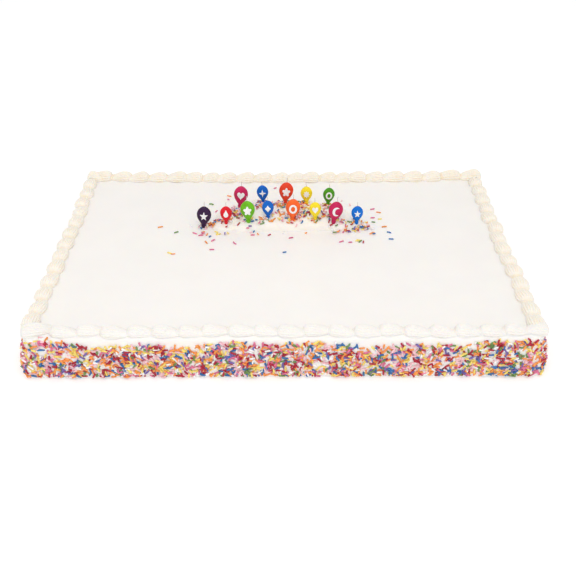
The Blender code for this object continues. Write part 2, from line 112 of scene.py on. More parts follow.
# One piped shell, head first: distance back, half height, half width, height of its middle, in mm
SHELL_STATIONS = [
    (0.0, 3.0, 2.8, 0.5), (0.5, 5.7, 6.2, 1.0), (2.0, 8.4, 9.8, 1.4), (5.0, 10.8, 12.4, 1.5),
    (9.5, 11.6, 13.4, 1.5), (14.5, 11.0, 13.3, 1.4), (19.5, 9.6, 12.6, 1.2),
    (24.5, 7.7, 11.2, 0.9), (29.0, 5.4, 9.2, 0.6), (33.5, 2.8, 6.0, 0.2),
]
SHELL_TEETH = 18
TOOTH_DEPTH = 0.52            # radius between two teeth against the radius at a tooth
SHELL_BLEND = 0.75 * MM       # grain of the remesh that presses touching shells together
SHELL_SOFTENING = 1           # rounds of smoothing after it
# How unlike its neighbours a shell is: tilts in degrees, sizes against the plan, places in mm
SHELL_TILTS = ((-7, 7), (-3, 2), (-6, 6))
SHELL_SIZES = ((0.97, 1.04), (0.95, 1.04), (0.93, 1.06))
STRAY_X = 1.2
STRAY_Y = 0.6

# Rows of shells. The front heads point left, the back heads right, and the end heads forwards.
FRONT_LINE = 190 * MM         # distance of the row's middle from the cake's middle
FRONT_PITCH = 29.2 * MM
FRONT_CORNER = 35 * MM        # length of the fat shell that starts the front row
FRONT_SHELLS = 19
BACK_LINE = 195 * MM          # at the back corners; the row swings in between them
BACK_SWING = 7 * MM
BACK_PITCH = 28 * MM          # spacing of heads at which a shell has its plain length
BACK_SHORTEST = 0.95          # least length of a shell against the plain one
BACK_SIZE = 1.16              # width and height of a back shell against the plain one
BACK_DIP = 0.08               # how much less high it is where the row swings in most
BACK_HEADS = (
    279, 245, 218, 190, 158, 131, 106, 83, 56, 32, 10, -18, -45, -73, -100, -125, -152, -180,
    -210, -238, -268,
)                             # x of each head in mm
# Which way an end lies, distance in from it, y of the first head, spacing, number of shells
END_ROWS = {
    "left": (-1, 8.2 * MM, -186 * MM, 28.4 * MM, 13),
    "right": (1, 8.6 * MM, -192 * MM, 27.0 * MM, 14),
}
# Length, width and height of a shell against the modelled one
FRONT_SHELL = (1.0, 0.88, 0.97)
FRONT_FIRST = (1.15, 1.12, 1.10)
FRONT_LAST = (0.80, 0.92, 1.0)
BACK_FIRST = (1.0, 1.16, 1.22)
BACK_LAST = (0.8, 1.12, 1.14)
END_SHELL = (1.0, 1.02, 1.0)
# How far a row's underside lies under the top
FRONT_SUNK = 1.2 * MM
BORDER_SUNK = 3.5 * MM

# Icing mound: centre x, y, reach in x, reach in y, and height of each lobe, all in mm
MOUND_LOBES = [
    (-72, 70, 26, 28, 12.5), (-38, 75, 33, 33, 19.5), (-4, 74, 36, 35, 20),
    (31, 73, 37, 35, 20), (62, 70, 31, 32, 18), (91, 61, 22, 21, 8),
    (-82, 51, 22, 15.5, 6.5), (-54, 47.5, 25, 14.5, 9), (-20, 48.5, 26, 15.5, 12),
    (13, 47, 26, 14, 11), (44, 48, 24, 13.5, 11.5), (74, 48, 24, 14, 9),
]
LOBE_SUNK = 0.4               # mm that a lobe's middle lies under the top
SLAB_PLACE = (5 * MM, 66 * MM)    # the icing that the lobes are smoothed into
SLAB_REACH = (125 * MM, 50 * MM)
SLAB_DEPTH = 4 * MM
MOUND_SPREAD = 1.4 * MM       # depth of the slab's surface under the top
MOUND_BLEND = 1.3 * MM        # grain of the remesh that presses the lobes together
MOUND_SOFTENING = 16          # rounds of smoothing after it
MOUND_SUNK = 0.5 * MM

# Balloon candles: height over the neck's foot, half width and half depth of a large one, in mm
BALLOON_STATIONS = [
    (-3.6, 2.4, 2.2), (0.2, 2.9, 2.7), (1.2, 3.5, 3.1), (2.2, 3.4, 3.1), (3.4, 2.7, 2.6),
    (4.8, 3.1, 2.8), (6.8, 4.5, 3.2), (9.6, 6.6, 3.7), (12.8, 8.5, 4.2), (16.8, 10.0, 4.6),
    (20.8, 10.4, 4.8), (24.8, 9.7, 4.6), (28.2, 7.9, 4.0), (30.9, 5.3, 2.9), (32.5, 2.8, 1.7),
    (33.0, 0.9, 0.6),
]
BALLOON_SIDES = 24
BALLOON_TOP = 33.0 * MM
NECK_SUNK = 4.0 * MM          # how deep a large candle's neck goes into the icing
NECK_RING = 2 * MM            # height of the part of a solid neck whose middle is its foot
# Height over the balloon's top, and bend to the side, in mm
WICK_STATIONS = [(-1.2, 0.0), (2.0, -0.1), (4.0, -0.2), (5.8, -0.25), (7.4, -0.2)]
WICK_RADIUS = 0.40 * MM
WICK_SIDES = 10
WICK_TWIST = 0.86             # radius between two strands against the radius at a strand
ORNAMENT_HEIGHT = 19.5 * MM
ORNAMENT_RADIUS = 5.4 * MM
ORNAMENT_STRETCH = 1.25
ORNAMENT_RELIEF = 0.9 * MM
ORNAMENT_ROOT = 0.5 * MM      # extra thickness, part of which goes into the balloon
ORNAMENT_SPLIT = 0.25         # which way the thickness goes, from -1 for inwards to 1
ORNAMENT_RIM = 0.28 * MM
ORNAMENT_AHEAD = 12 * MM      # an outline is drawn this far in front, then laid on the balloon
RING_WIDTH = 0.48             # against the ring's radius

# Sprinkles. A rod is modelled along X: place along it, and thickness at that place
ROD_STATIONS = ((-0.5, 0.55), (-0.44, 0.95), (0.0, 1.0), (0.44, 0.95), (0.5, 0.55))
ROD_MODEL = 8                 # length of the modelled rod in mm
ROD_RADIUS = 1.2 * MM
ROD_BENDS = (0.0, 0.0, 0.4, 0.9)   # in mm
ROD_SIDES = 6
ROD_LENGTHS = (5.0 * MM, 10.0 * MM, 7.0 * MM)      # least, most and usual, on the sides
TOP_ROD_LENGTHS = (3.2 * MM, 6.5 * MM, 4.5 * MM)   # and on the mound
LOOSE_ROD_LENGTHS = (5.0, 7.5)     # least and most on the flat top, in mm
TOP_ROD_THICKNESS = 0.85      # against those on the sides
SIDE_RODS = 6900
SIDE_ROD_SPACING = 2.5 * MM
TRIES_A_ROD = 12              # places tried for each rod before the sides count as full
LIKE_ITS_NEIGHBOUR = 0.30     # chance that a rod has the colour of one beside it
# The band of rods on the sides, in mm: its heights, its waves (size, rate and start), and how
# much higher it goes near the front corners (x, rise and reach)
BAND = (1.5, 62)
BAND_TOP = 47
BAND_WAVES = ((2.0, 23, 0), (1.8, 61, 1))
BAND_LESS_ON_ENDS = 3
BAND_CORNERS = ((-276, 4.5, 14), (287, 4, 12))
ROD_GAPS = (0.4, 1.0)         # room that a rod has round it, in shares of the spacing
CROWD_REACH = 3.0 * MM        # rods nearer than this lie under the next one
CROWD_MOST = 3
ROD_TILTS = (-0.12, 0.2)      # how much a rod leans inwards or outwards
CROWD_TILT = 0.4              # how much more, for each rod under it
ROD_LIFT = 0.35               # mm from the icing to a rod's middle
LONG_SIDE_LIFT = 0.65         # mm more for each rod under it, on the front and back
END_LIFT = 0.3                # and on the ends
ROD_DROP = 30 * MM            # rods come at the sides from this far outside the border's edge
ROD_FALL = 45 * MM            # and find the icing within this distance
# Rods on the mound and the top
PILE_SPREAD = 0.6             # standard deviation in a pile against its stated spread
PILE_LIFTS = (0.0, 0.0, 0.9, 1.6)  # mm
CANDLE_ROOM = 3.6 * MM        # a pile leaves this free round a candle
CANDLE_ROOM_DEPTH = 1.3       # the room's width against its depth
RODS_AT_CANDLE = 6            # strewn round each candle
STREWN = (4.4, 8.5)           # mm from the candle
STREWN_LIFTS = (0.0, 1.2)     # mm
TOP_ROD_TILT = 0.15
TOP_ROD_LIE = 0.9             # how far a rod follows the slope it lies on
TOP_ROD_SUNK = 0.65           # height of its middle over the icing, against its radius
# Share of each colour in the mix
ROD_MIX = {
    "pink": 0.08, "pale_pink": 0.14, "red": 0.12, "orange": 0.20, "yellow": 0.16, "green": 0.06,
    "blue": 0.09, "violet": 0.04, "white": 0.11,
}
# Piles on the mound and the top: centre x, y, spread in x, y (mm) and rods
PILES = [
    (-68, 66, 9, 9, 34), (-66, 56, 8, 6, 10), (-34, 72, 12, 7, 24), (-22, 80, 16, 5, 12),
    (-6, 72, 12, 6, 26), (-7, 57, 9, 5, 8), (29, 76, 8, 8, 20), (29, 60, 7, 10, 24),
    (58, 70, 8, 8, 20), (57, 55, 7, 8, 18), (-25, 45, 18, 5, 12), (2, 49, 7, 5, 14),
    (24, 47, 14, 5, 16), (70, 50, 12, 6, 12), (85, 44, 7, 6, 14), (107, 46, 12, 8, 34),
    (95, 33, 14, 5, 16), (-104, 49, 9, 4, 16), (-86, 49, 12, 4, 14), (-110, 27, 16, 8, 5),
    (10, 30, 80, 10, 10), (48, 112, 40, 10, 7), (-70, 118, 20, 12, 3), (122, 40, 12, 14, 8),
]
# Loose rods on the flat top: x, y in mm, angle from +X in degrees, colour
LOOSE_RODS = [
    (-174, 45, 20, "orange"), (-150, 31, 30, "green"), (-153, -22, -30, "yellow"),
    (-148, -24, 5, "orange"), (-82, 134, -25, "orange"), (-107, 109, -20, "green"),
    (-98, 89, 60, "pink"), (-13, 159, 40, "pink"), (-124, 28, -30, "pink"),
    (-115, 22, 10, "pink"), (-106, 4, -60, "orange"), (-97, 9, 45, "pink"),
    (-97, -14, 5, "pink"), (-67, 2, -55, "pink"), (-93, 28, 80, "yellow"),
    (-91, 25, 20, "yellow"), (-94, 31, -30, "yellow"), (-63, 41, 55, "red"),
    (-43, 23, 5, "pink"), (-30, 40, 15, "green"), (-18, 42, -10, "orange"),
    (-20, 23, 40, "red"), (0, 29, 70, "white"), (10, 15, 20, "pink"), (1, -21, 15, "blue"),
    (22, 52, 80, "yellow"), (24, 49, 40, "orange"), (37, 54, 85, "red"), (46, 42, 60, "green"),
    (79, 5, 30, "pink"), (91, 3, 10, "pink"), (103, 9, -15, "yellow"), (105, 6, 50, "green"),
    (102, 7, 0, "yellow"), (109, 4, 75, "red"), (112, 37, 15, "yellow"), (130, 94, 20, "pink"),
    (138, 84, -20, "orange"), (128, 69, 5, "pink"), (138, 65, 15, "yellow"),
    (128, 57, -15, "green"), (142, 44, 10, "orange"), (147, 29, -30, "blue"),
    (148, 12, -5, "blue"), (-131, 48, -60, "white"),
]

# Colours, linear
ICING = (0.915, 0.882, 0.845)
PIPED_ICING = (0.925, 0.882, 0.815)
# Painted shade: the front row's piped icing is a darker copy, against the extra light its forward
# faces catch
FRONT_ICING_SHADED = (0.890, 0.860, 0.818)
# Painted shade: the creamy tone that the icing is mixed towards in its creases
PAINTED_CREASE_SHADE = (0.905, 0.755, 0.520)
SUGAR = {
    "pink": (0.720, 0.180, 0.310), "pale_pink": (0.940, 0.560, 0.600),
    "red": (0.440, 0.020, 0.045), "orange": (0.920, 0.320, 0.080),
    "yellow": (0.960, 0.690, 0.170), "green": (0.170, 0.290, 0.090),
    "blue": (0.040, 0.160, 0.420), "violet": (0.190, 0.130, 0.400),
    "white": (0.960, 0.945, 0.935),
}
WAX = {
    "purple_wax": (0.036, 0.010, 0.052), "red_wax": (0.740, 0.010, 0.022),
    "leaf_green_wax": (0.150, 0.480, 0.012), "dark_green_wax": (0.070, 0.300, 0.010),
    "blue_wax": (0.004, 0.130, 0.560), "azure_wax": (0.002, 0.170, 0.680),
    "orange_wax": (0.910, 0.135, 0.022), "red_orange_wax": (0.780, 0.058, 0.020),
    "yellow_wax": (0.950, 0.740, 0.028), "crimson_wax": (0.570, 0.016, 0.100),
}
WHITE_WAX = (0.960, 0.955, 0.950)
COTTON = (0.580, 0.530, 0.520)


# Hand tools

def let_go():
    """Leave no object selected."""
    bpy.ops.object.select_all(action="DESELECT")


def select_only(item):
    """Leave one object selected and active."""
    let_go()
    item.select_set(True)
    bpy.context.view_layer.objects.active = item


def edit(item):
    """Go into edit mode on one object, with nothing selected in it."""
    select_only(item)
    bpy.ops.object.mode_set(mode="EDIT")
    bpy.ops.mesh.select_all(action="DESELECT")


def pick_all():
    """In edit mode, select everything."""
    bpy.ops.mesh.select_all(action="SELECT")


def leave_edit():
    """Go back to object mode."""
    bpy.ops.object.mode_set(mode="OBJECT")


def pick_verts(item, test):
    """In edit mode, select just the vertices whose place passes the test."""
    bpy.ops.mesh.select_mode(type="VERT")
    shape = bmesh.from_edit_mesh(item.data)
    for vert in shape.verts:
        vert.select = test(vert.co)
    shape.select_flush(True)
    bmesh.update_edit_mesh(item.data)


def pick_edges(item, test):
    """In edit mode, select just the edges whose two ends pass the test together."""
    bpy.ops.mesh.select_mode(type="EDGE")
    shape = bmesh.from_edit_mesh(item.data)
    for edge in shape.edges:
        edge.select = test(*(vert.co for vert in edge.verts))
    bmesh.update_edit_mesh(item.data)


def fix_place(item):
    """Put an object's place, turn and size into its mesh."""
    select_only(item)
    bpy.ops.object.transform_apply(location=True, rotation=True, scale=True)


def add_step(item, kind, **settings):
    """Add a modifier of a kind, with its settings."""
    step = item.modifiers.new(kind.lower(), kind)
    for name, value in settings.items():
        setattr(step, name, value)


def apply_steps(item):
    """Apply every modifier of an object, first to last."""
    select_only(item)
    for step in list(item.modifiers):
        bpy.ops.object.modifier_apply(modifier=step.name)


def smooth(item, angle):
    """Shade smooth, except over edges sharper than an angle in degrees."""
    select_only(item)
    bpy.ops.object.shade_smooth_by_angle(angle=math.radians(angle))


def paint_crease_shade(item, least, most):
    """Store each point's painted crease shade from how shut in it is, from 0 in the open to 1
    deep in a crease.

    The share of a point's feelers that meets icing is its depth, and depths from least to most
    are spread over the whole range. A groove adds how far it lies under the smoothed surface.
    """
    surface = surface_of(item)
    mark = item.data.attributes.new("crease", "FLOAT", "POINT")
    depths = groove_depths(item)
    for vert, depth in zip(item.data.vertices, depths):
        side = vert.normal.orthogonal().normalized()
        across = vert.normal.cross(side)
        start = vert.co + vert.normal * FEELER_START * MM
        met = 0
        for feeler in range(FEELERS):
            turn = 2 * math.pi * feeler / FEELERS
            rise = FEELER_SLOPES[feeler % 2]
            way = side * math.cos(turn) + across * math.sin(turn) + vert.normal * rise
            met += surface.ray_cast(start, way.normalized(), FEELER_REACH)[0] is not None
        shut = (met / FEELERS - least) / (most - least) + depth / GROOVE_FULL
        mark.data[vert.index].value = min(1.0, max(0.0, shut))


def groove_depths(item):
    """How far each point lies under the surface that its surroundings make, 0 on ridges."""
    count = len(item.data.vertices)
    points = np.empty(count * 3)
    item.data.vertices.foreach_get("co", points)
    points = points.reshape(-1, 3)
    normals = np.array([vert.normal for vert in item.data.vertices])
    ends = np.empty(len(item.data.edges) * 2, dtype=np.int64)
    item.data.edges.foreach_get("vertices", ends)
    ends = ends.reshape(-1, 2)
    links = np.maximum(np.bincount(ends.ravel(), minlength=count), 1)
    flat = points.copy()
    for _ in range(GROOVE_ROUNDS):
        sums = np.zeros_like(flat)
        for end, other in ((0, 1), (1, 0)):
            for axis in range(3):
                beside = flat[ends[:, other], axis]
                sums[:, axis] += np.bincount(ends[:, end], beside, minlength=count)
        flat = (flat + sums / links[:, None]) / 2
    return np.maximum(((flat - points) * normals).sum(axis=1), 0)


def surface_of(*items):
    """One surface to feel for or drop things on, made of several objects."""
    points = []
    faces = []
    for item in items:
        start = len(points)
        points += [vert.co.copy() for vert in item.data.vertices]
        faces += [[start + corner for corner in face.vertices] for face in item.data.polygons]
    return BVHTree.FromPolygons(points, faces)


def place_new(name, data):
    """A new object in the scene for a mesh, a light or a camera."""
    item = bpy.data.objects.new(name, data)
    bpy.context.scene.collection.objects.link(item)
    return item


def copy_of(item, name):
    """A copy with a mesh of its own."""
    return place_new(name, item.data.copy())


def join(items, name):
    """Join objects into one, with its place in its mesh."""
    let_go()
    for item in items:
        item.select_set(True)
    bpy.context.view_layer.objects.active = items[0]
    bpy.ops.object.transform_apply(location=True, rotation=True, scale=True)
    bpy.ops.object.join()
    items[0].name = name
    return items[0]


def make_uneven(item, size, strength, direction="NORMAL", group=""):
    """Push the surface in and out by a soft noise of a given size."""
    noise = bpy.data.textures.new(item.name + "_noise", "CLOUDS")
    noise.noise_scale = size
    add_step(item, "DISPLACE", texture=noise, texture_coords="LOCAL", strength=strength,
             direction=direction, vertex_group=group)


def round_off(item):
    """Round a coarse form off by one subdivision."""
    add_step(item, "SUBSURF", levels=1, render_levels=1)


def press_together(item, grain, rounds):
    """Give forms that touch one common skin of a given grain, and soften it."""
    add_step(item, "REMESH", mode="VOXEL", voxel_size=grain)
    add_step(item, "SMOOTH", factor=0.5, iterations=rounds)


def cut_off_below(item, height):
    """Cut an object off flat at a height, and close it there."""
    edit(item)
    pick_all()
    bpy.ops.mesh.bisect(plane_co=(0, 0, height), plane_no=(0, 0, 1), clear_inner=True,
                        use_fill=True)
    leave_edit()


def pull_form(name, sides, stations, tooth=1.0):
    """Pull a disc upwards through its stations into a closed form.

    A station is (height, half size in x, half size in y, shift in x, shift in y). With a tooth
    under 1, every other corner of the disc is drawn in, which leaves ridges along the form.
    """
    height, half_x, half_y, shift_x, shift_y = stations[0]
    let_go()
    bpy.ops.mesh.primitive_circle_add(vertices=sides, radius=1, fill_type="NGON")
    item = bpy.context.object
    item.name = name
    edit(item)
    if tooth < 1:
        corners = bmesh.from_edit_mesh(item.data)
        for vert in list(corners.verts)[::2]:
            vert.select = True
        bmesh.update_edit_mesh(item.data)
        bpy.ops.transform.resize(value=(tooth, tooth, 1), center_override=(0, 0, 0))
    pick_all()
    bpy.ops.transform.resize(value=(half_x, half_y, 1), center_override=(0, 0, 0))
    bpy.ops.transform.translate(value=(shift_x, shift_y, height))
    for last, this in zip(stations, stations[1:]):
        move = (this[3] - last[3], this[4] - last[4], this[0] - last[0])
        bpy.ops.mesh.extrude_region_move(TRANSFORM_OT_translate={"value": move})
        bpy.ops.transform.resize(value=(this[1] / last[1], this[2] / last[2], 1),
                                 center_override=(this[3], this[4], this[0]))
    pick_all()
    bpy.ops.mesh.normals_make_consistent(inside=False)
    leave_edit()
    return item


def finish_piece(item, material, slot, *nodes):
    """Give a piece its finish, let it ride on the cake, and hide the imported solids that it
    stands for.
    """
    item.data.materials.clear()
    item.data.materials.append(material)
    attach(item, "root")
    if nodes:
        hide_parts(*nodes)


# Finishes

def set_inputs(node, values):
    """Set inputs of a node by their names."""
    for name, value in values.items():
        node.inputs[name].default_value = value


def start_material(name, color, values):
    """A Principled material with its node tree and its shader, set to the given values."""
    material = bpy.data.materials.new(name)
    material.use_nodes = True
    shader = material.node_tree.nodes["Principled BSDF"]
    set_inputs(shader, {"Base Color": (*color, 1), **values})
    return material, material.node_tree, shader


def object_noise(tree, scale, detail):
    """A noise on the piece's own coordinates."""
    place = tree.nodes.new("ShaderNodeTexCoord")
    noise = tree.nodes.new("ShaderNodeTexNoise")
    set_inputs(noise, {"Scale": scale, "Detail": detail})
    tree.links.new(place.outputs["Object"], noise.inputs["Vector"])
    return noise


def vary_color(tree, shader, noise, low, high):
    """Let the colour drift between two tones."""
    ramp = tree.nodes.new("ShaderNodeValToRGB")
    ramp.color_ramp.elements[0].position = 0.35
    ramp.color_ramp.elements[0].color = (*low, 1)
    ramp.color_ramp.elements[1].position = 0.65
    ramp.color_ramp.elements[1].color = (*high, 1)
    tree.links.new(noise.outputs["Fac"], ramp.inputs["Fac"])
    tree.links.new(ramp.outputs["Color"], shader.inputs["Base Color"])
    return ramp


def add_bump(tree, shader, noise, distance, strength):
    """Let the finish rise and fall with a noise."""
    bump = tree.nodes.new("ShaderNodeBump")
    set_inputs(bump, {"Distance": distance, "Strength": strength})
    tree.links.new(noise.outputs["Fac"], bump.inputs["Height"])
    tree.links.new(bump.outputs["Normal"], shader.inputs["Normal"])


def tone(color, factor):
    """A colour made lighter or darker."""
    return tuple(min(1.0, channel * factor) for channel in color)


def icing_finish(name, color, crease_shade_color):
    """Buttercream: soft, faintly glossy, with fine pits, and painted shade in its creases, a
    creamier tone.
    """
    material, tree, shader = start_material(name, color, {
        "Roughness": 0.48, "Specular IOR Level": 0.35, "Subsurface Weight": 0.25,
        "Subsurface Radius": (1.0, 0.7, 0.4), "Subsurface Scale": 4 * MM})
    ramp = vary_color(tree, shader, object_noise(tree, 22, 3), tone(color, 0.985), color)
    # Painted shade: the stored crease mark mixes the icing towards the crease shade colour
    crease = tree.nodes.new("ShaderNodeAttribute")
    crease.attribute_name = "crease"
    mix = tree.nodes.new("ShaderNodeMix")
    mix.data_type = "RGBA"
    set_inputs(mix, {"B": (*crease_shade_color, 1)})
    tree.links.new(crease.outputs["Fac"], mix.inputs["Factor"])
    tree.links.new(ramp.outputs["Color"], mix.inputs["A"])
    tree.links.new(mix.outputs["Result"], shader.inputs["Base Color"])
    add_bump(tree, shader, object_noise(tree, 900, 3), 0.12 * MM, 0.5)
    return material


def wax_finish(name, color):
    """Candle wax: a little translucent, satin, with a soft cloudiness."""
    material, tree, shader = start_material(name, color, {
        "Roughness": 0.34, "Specular IOR Level": 0.22, "Subsurface Weight": 0.10,
        "Subsurface Radius": (1.0, 0.6, 0.5), "Subsurface Scale": 2 * MM})
    vary_color(tree, shader, object_noise(tree, 160, 2), tone(color, 0.9), tone(color, 1.08))
    add_bump(tree, shader, object_noise(tree, 700, 2), 0.05 * MM, 0.6)
    return material


def sugar_finish(name, color):
    """A sugar rod's thin confectioner's glaze."""
    material, tree, shader = start_material(name, color, {
        "Roughness": 0.40, "Specular IOR Level": 0.35, "Subsurface Weight": 0.08,
        "Subsurface Scale": 0.6 * MM})
    vary_color(tree, shader, object_noise(tree, 260, 1), tone(color, 0.82), tone(color, 1.16))
    add_bump(tree, shader, object_noise(tree, 1500, 2), 0.06 * MM, 0.6)
    return material


def cotton_finish():
    """Twisted cotton with a thin coat of wax."""
    material, tree, shader = start_material("wick_cotton", COTTON, {"Roughness": 0.8})
    place = tree.nodes.new("ShaderNodeTexCoord")
    twist = tree.nodes.new("ShaderNodeTexWave")
    twist.bands_direction = "DIAGONAL"
    set_inputs(twist, {"Scale": 420, "Distortion": 1.5})
    tree.links.new(place.outputs["Object"], twist.inputs["Vector"])
    vary_color(tree, shader, twist, tone(COTTON, 0.7), tone(COTTON, 1.3))
    add_bump(tree, shader, twist, 0.15 * MM, 0.8)
    return material


# The iced block

def ice_the_cake():
    """A box with rounded upright edges, cut level by level and spread to its side profile."""
    let_go()
    bpy.ops.mesh.primitive_cube_add(size=2, location=(0, 0, TOP / 2),
                                    scale=(HALF_X + FOOT, HALF_Y + FOOT, TOP / 2))
    cake = bpy.context.object
    cake.name = "iced_cake"
    fix_place(cake)
    edit(cake)
    pick_edges(cake, lambda a, b: abs(a.z - b.z) > TOP / 2)
    bpy.ops.mesh.bevel(offset=CORNER_RADIUS + FOOT, segments=CORNER_STEPS, affect="EDGES")
    for height, out in SIDE_PROFILE[1:]:
        cut_level(cake, height * MM, (out - SIDE_PROFILE[0][1]) * MM)
    cut_panels()
    pick_verts(cake, lambda co: co.z > TOP - HAIR)
    spread_level(-EDGE_ROUND, TOP)
    leave_edit()
    roughen_icing(cake)
    return cake


def cut_level(cake, height, spread):
    """Cut round the block at a height and move the new ring outwards."""
    pick_all()
    bpy.ops.mesh.bisect(plane_co=(0, 0, height), plane_no=(0, 0, 1))
    pick_verts(cake, lambda co: abs(co.z - height) < HAIR)
    spread_level(spread, height)


def spread_level(spread, height):
    """Move the selected ring outwards from where the block's foot stands."""
    reach_x = HALF_X + FOOT
    reach_y = HALF_Y + FOOT
    bpy.ops.transform.resize(
        value=((reach_x + spread) / reach_x, (reach_y + spread) / reach_y, 1),
        center_override=(0, 0, height))


def cut_panels():
    """Cut the block into panels across and along, so that its icing can be uneven."""
    for reach, normal in ((HALF_X, (1, 0, 0)), (HALF_Y, (0, 1, 0))):
        count = round(2 * (reach - CORNER_RADIUS) / PANEL)
        for i in range(count + 1):
            run = (i / count * 2 - 1) * (reach - CORNER_RADIUS)
            pick_all()
            bpy.ops.mesh.bisect(plane_co=tuple(run * axis for axis in normal), plane_no=normal)


def roughen_icing(cake):
    """Leave the walls hand-spread and the top nearly flat."""
    walls = cake.vertex_groups.new(name="walls")
    top = cake.vertex_groups.new(name="top")
    for vert in cake.data.vertices:
        level = vert.co.z
        inside = min(HALF_X - abs(vert.co.x), HALF_Y - abs(vert.co.y)) > TOP_MARGIN
        if WALL_BAND[0] < level < TOP - WALL_BAND[1]:
            walls.add([vert.index], 1.0, "REPLACE")
        if level > TOP - HAIR and inside:
            top.add([vert.index], 1.0, "REPLACE")
    round_off(cake)
    make_uneven(cake, *WALL_WAVES, group="walls")
    make_uneven(cake, *TOP_WAVES, direction="Z", group="top")
    apply_steps(cake)
    smooth(cake, 60)


# The piped border

def pipe_one_shell():
    """A shell with its head at the origin and its tail along -X, its middle line on z = 0."""
    stations = [(back * MM, tall * MM, wide * MM, middle * MM, 0.0)
                for back, tall, wide, middle in SHELL_STATIONS]
    shell = pull_form("shell", 2 * SHELL_TEETH, stations, TOOTH_DEPTH)
    shell.rotation_euler = (0, -math.pi / 2, 0)
    fix_place(shell)
    round_off(shell)
    apply_steps(shell)
    return shell


def lay_shell(shell, name, head, heading, size, draw):
    """A copy of the shell with its head at a place, pointing along its heading in degrees."""
    twin = copy_of(shell, name)
    twin.location = head
    roll, nod, turn = [draw.uniform(*tilts) for tilts in SHELL_TILTS]
    twin.rotation_euler = (math.radians(roll), math.radians(nod), math.radians(heading + turn))
    twin.scale = [part * draw.uniform(*sizes) for part, sizes in zip(size, SHELL_SIZES)]
    return twin


def pipe_row(shell, name, shells, sunk, draw):
    """A row of shells pressed together, whose underside is cut off a little under the top.

    Each shell is given by its head's x and y, its heading and its size.
    """
    row = []
    for i, (x, y, heading, size) in enumerate(shells):
        x += draw.uniform(-STRAY_X, STRAY_X) * MM
        y += draw.uniform(-STRAY_Y, STRAY_Y) * MM
        row.append(lay_shell(shell, f"{name}_{i}", (x, y, TOP), heading, size, draw))
    border = join(row, name)
    press_together(border, SHELL_BLEND, SHELL_SOFTENING)
    make_uneven(border, *BORDER_WAVES)
    apply_steps(border)
    cut_off_below(border, TOP - sunk)
    smooth(border, 60)
    return border


def plan_the_rows():
    """Where each shell of the four rows has its head, which way it points, and its size.

    With each row comes how far its underside lies under the top.
    """
    front = [(-HALF_X + 0.5 * MM, -FRONT_LINE - 1 * MM, 196, FRONT_FIRST)]
    front += [(-HALF_X + FRONT_CORNER + FRONT_PITCH * i, -FRONT_LINE, 180, FRONT_SHELL)
              for i in range(FRONT_SHELLS)]
    front.append((HALF_X + 1.5 * MM, -FRONT_LINE, 0, FRONT_LAST))
    back = [(HALF_X + 5 * MM, BACK_LINE - 1 * MM, 0, BACK_FIRST)]
    heads = [x * MM for x in BACK_HEADS]
    for x, after in zip(heads, heads[1:] + [heads[-1] - BACK_PITCH]):
        swing = BACK_SWING * (1 - (x / HALF_X) ** 2)
        length = max(BACK_SHORTEST, (x - after) / BACK_PITCH)
        tall = BACK_SIZE - BACK_DIP * swing / BACK_SWING
        back.append((x, BACK_LINE - swing, 0, (length, BACK_SIZE, tall)))
    back.append((-HALF_X - 1 * MM, BACK_LINE - 1 * MM, 180, BACK_LAST))
    rows = {"front": (front, FRONT_SUNK), "back": (back, BORDER_SUNK)}
    for name, (way, line, start, pitch, count) in END_ROWS.items():
        row = [(way * (HALF_X - line), start + pitch * i, -90, END_SHELL) for i in range(count)]
        rows[name] = (row, BORDER_SUNK)
    return rows


def pipe_the_border(shaded_front_finish, finish, draw):
    """The four rows, each in one piece, with painted shade marked in their creases."""
    shell = pipe_one_shell()
    borders = []
    for side, (shells, sunk) in plan_the_rows().items():
        border = pipe_row(shell, "piped_border_" + side, shells, sunk, draw)
        in_front = side == "front"
        paint_crease_shade(border, *(FRONT_CREASE_SHADE if in_front else BORDER_CREASE_SHADE))
        finish_piece(border, shaded_front_finish if in_front else finish, "piped_icing",
                     "border_" + side)
        borders.append(border)
    bpy.data.objects.remove(shell, do_unlink=True)
    return borders


# The icing mound

def dollop_mound():
    """Dollops of icing pushed together and spread down on to the top."""
    dollops = []
    for i, (x, y, reach_x, reach_y, rise) in enumerate(MOUND_LOBES):
        let_go()
        bpy.ops.mesh.primitive_uv_sphere_add(segments=32, ring_count=16, radius=1,
                                             location=(x * MM, y * MM, TOP - LOBE_SUNK * MM))
        dollop = bpy.context.object
        dollop.name = f"dollop_{i}"
        dollop.scale = (reach_x * MM, reach_y * MM, (rise + LOBE_SUNK) * MM)
        dollops.append(dollop)
    let_go()
    bpy.ops.mesh.primitive_cube_add(size=2, location=(*SLAB_PLACE, TOP - SLAB_DEPTH),
                                    scale=(*SLAB_REACH, SLAB_DEPTH - MOUND_SPREAD))
    dollops.append(bpy.context.object)
    mound = join(dollops, "candle_mound")
    press_together(mound, MOUND_BLEND, MOUND_SOFTENING)
    make_uneven(mound, *MOUND_WAVES)
    apply_steps(mound)
    cut_off_below(mound, TOP - MOUND_SUNK)
    smooth(mound, 70)
    paint_crease_shade(mound, *MOUND_CREASE_SHADE)
    return mound


# The candles

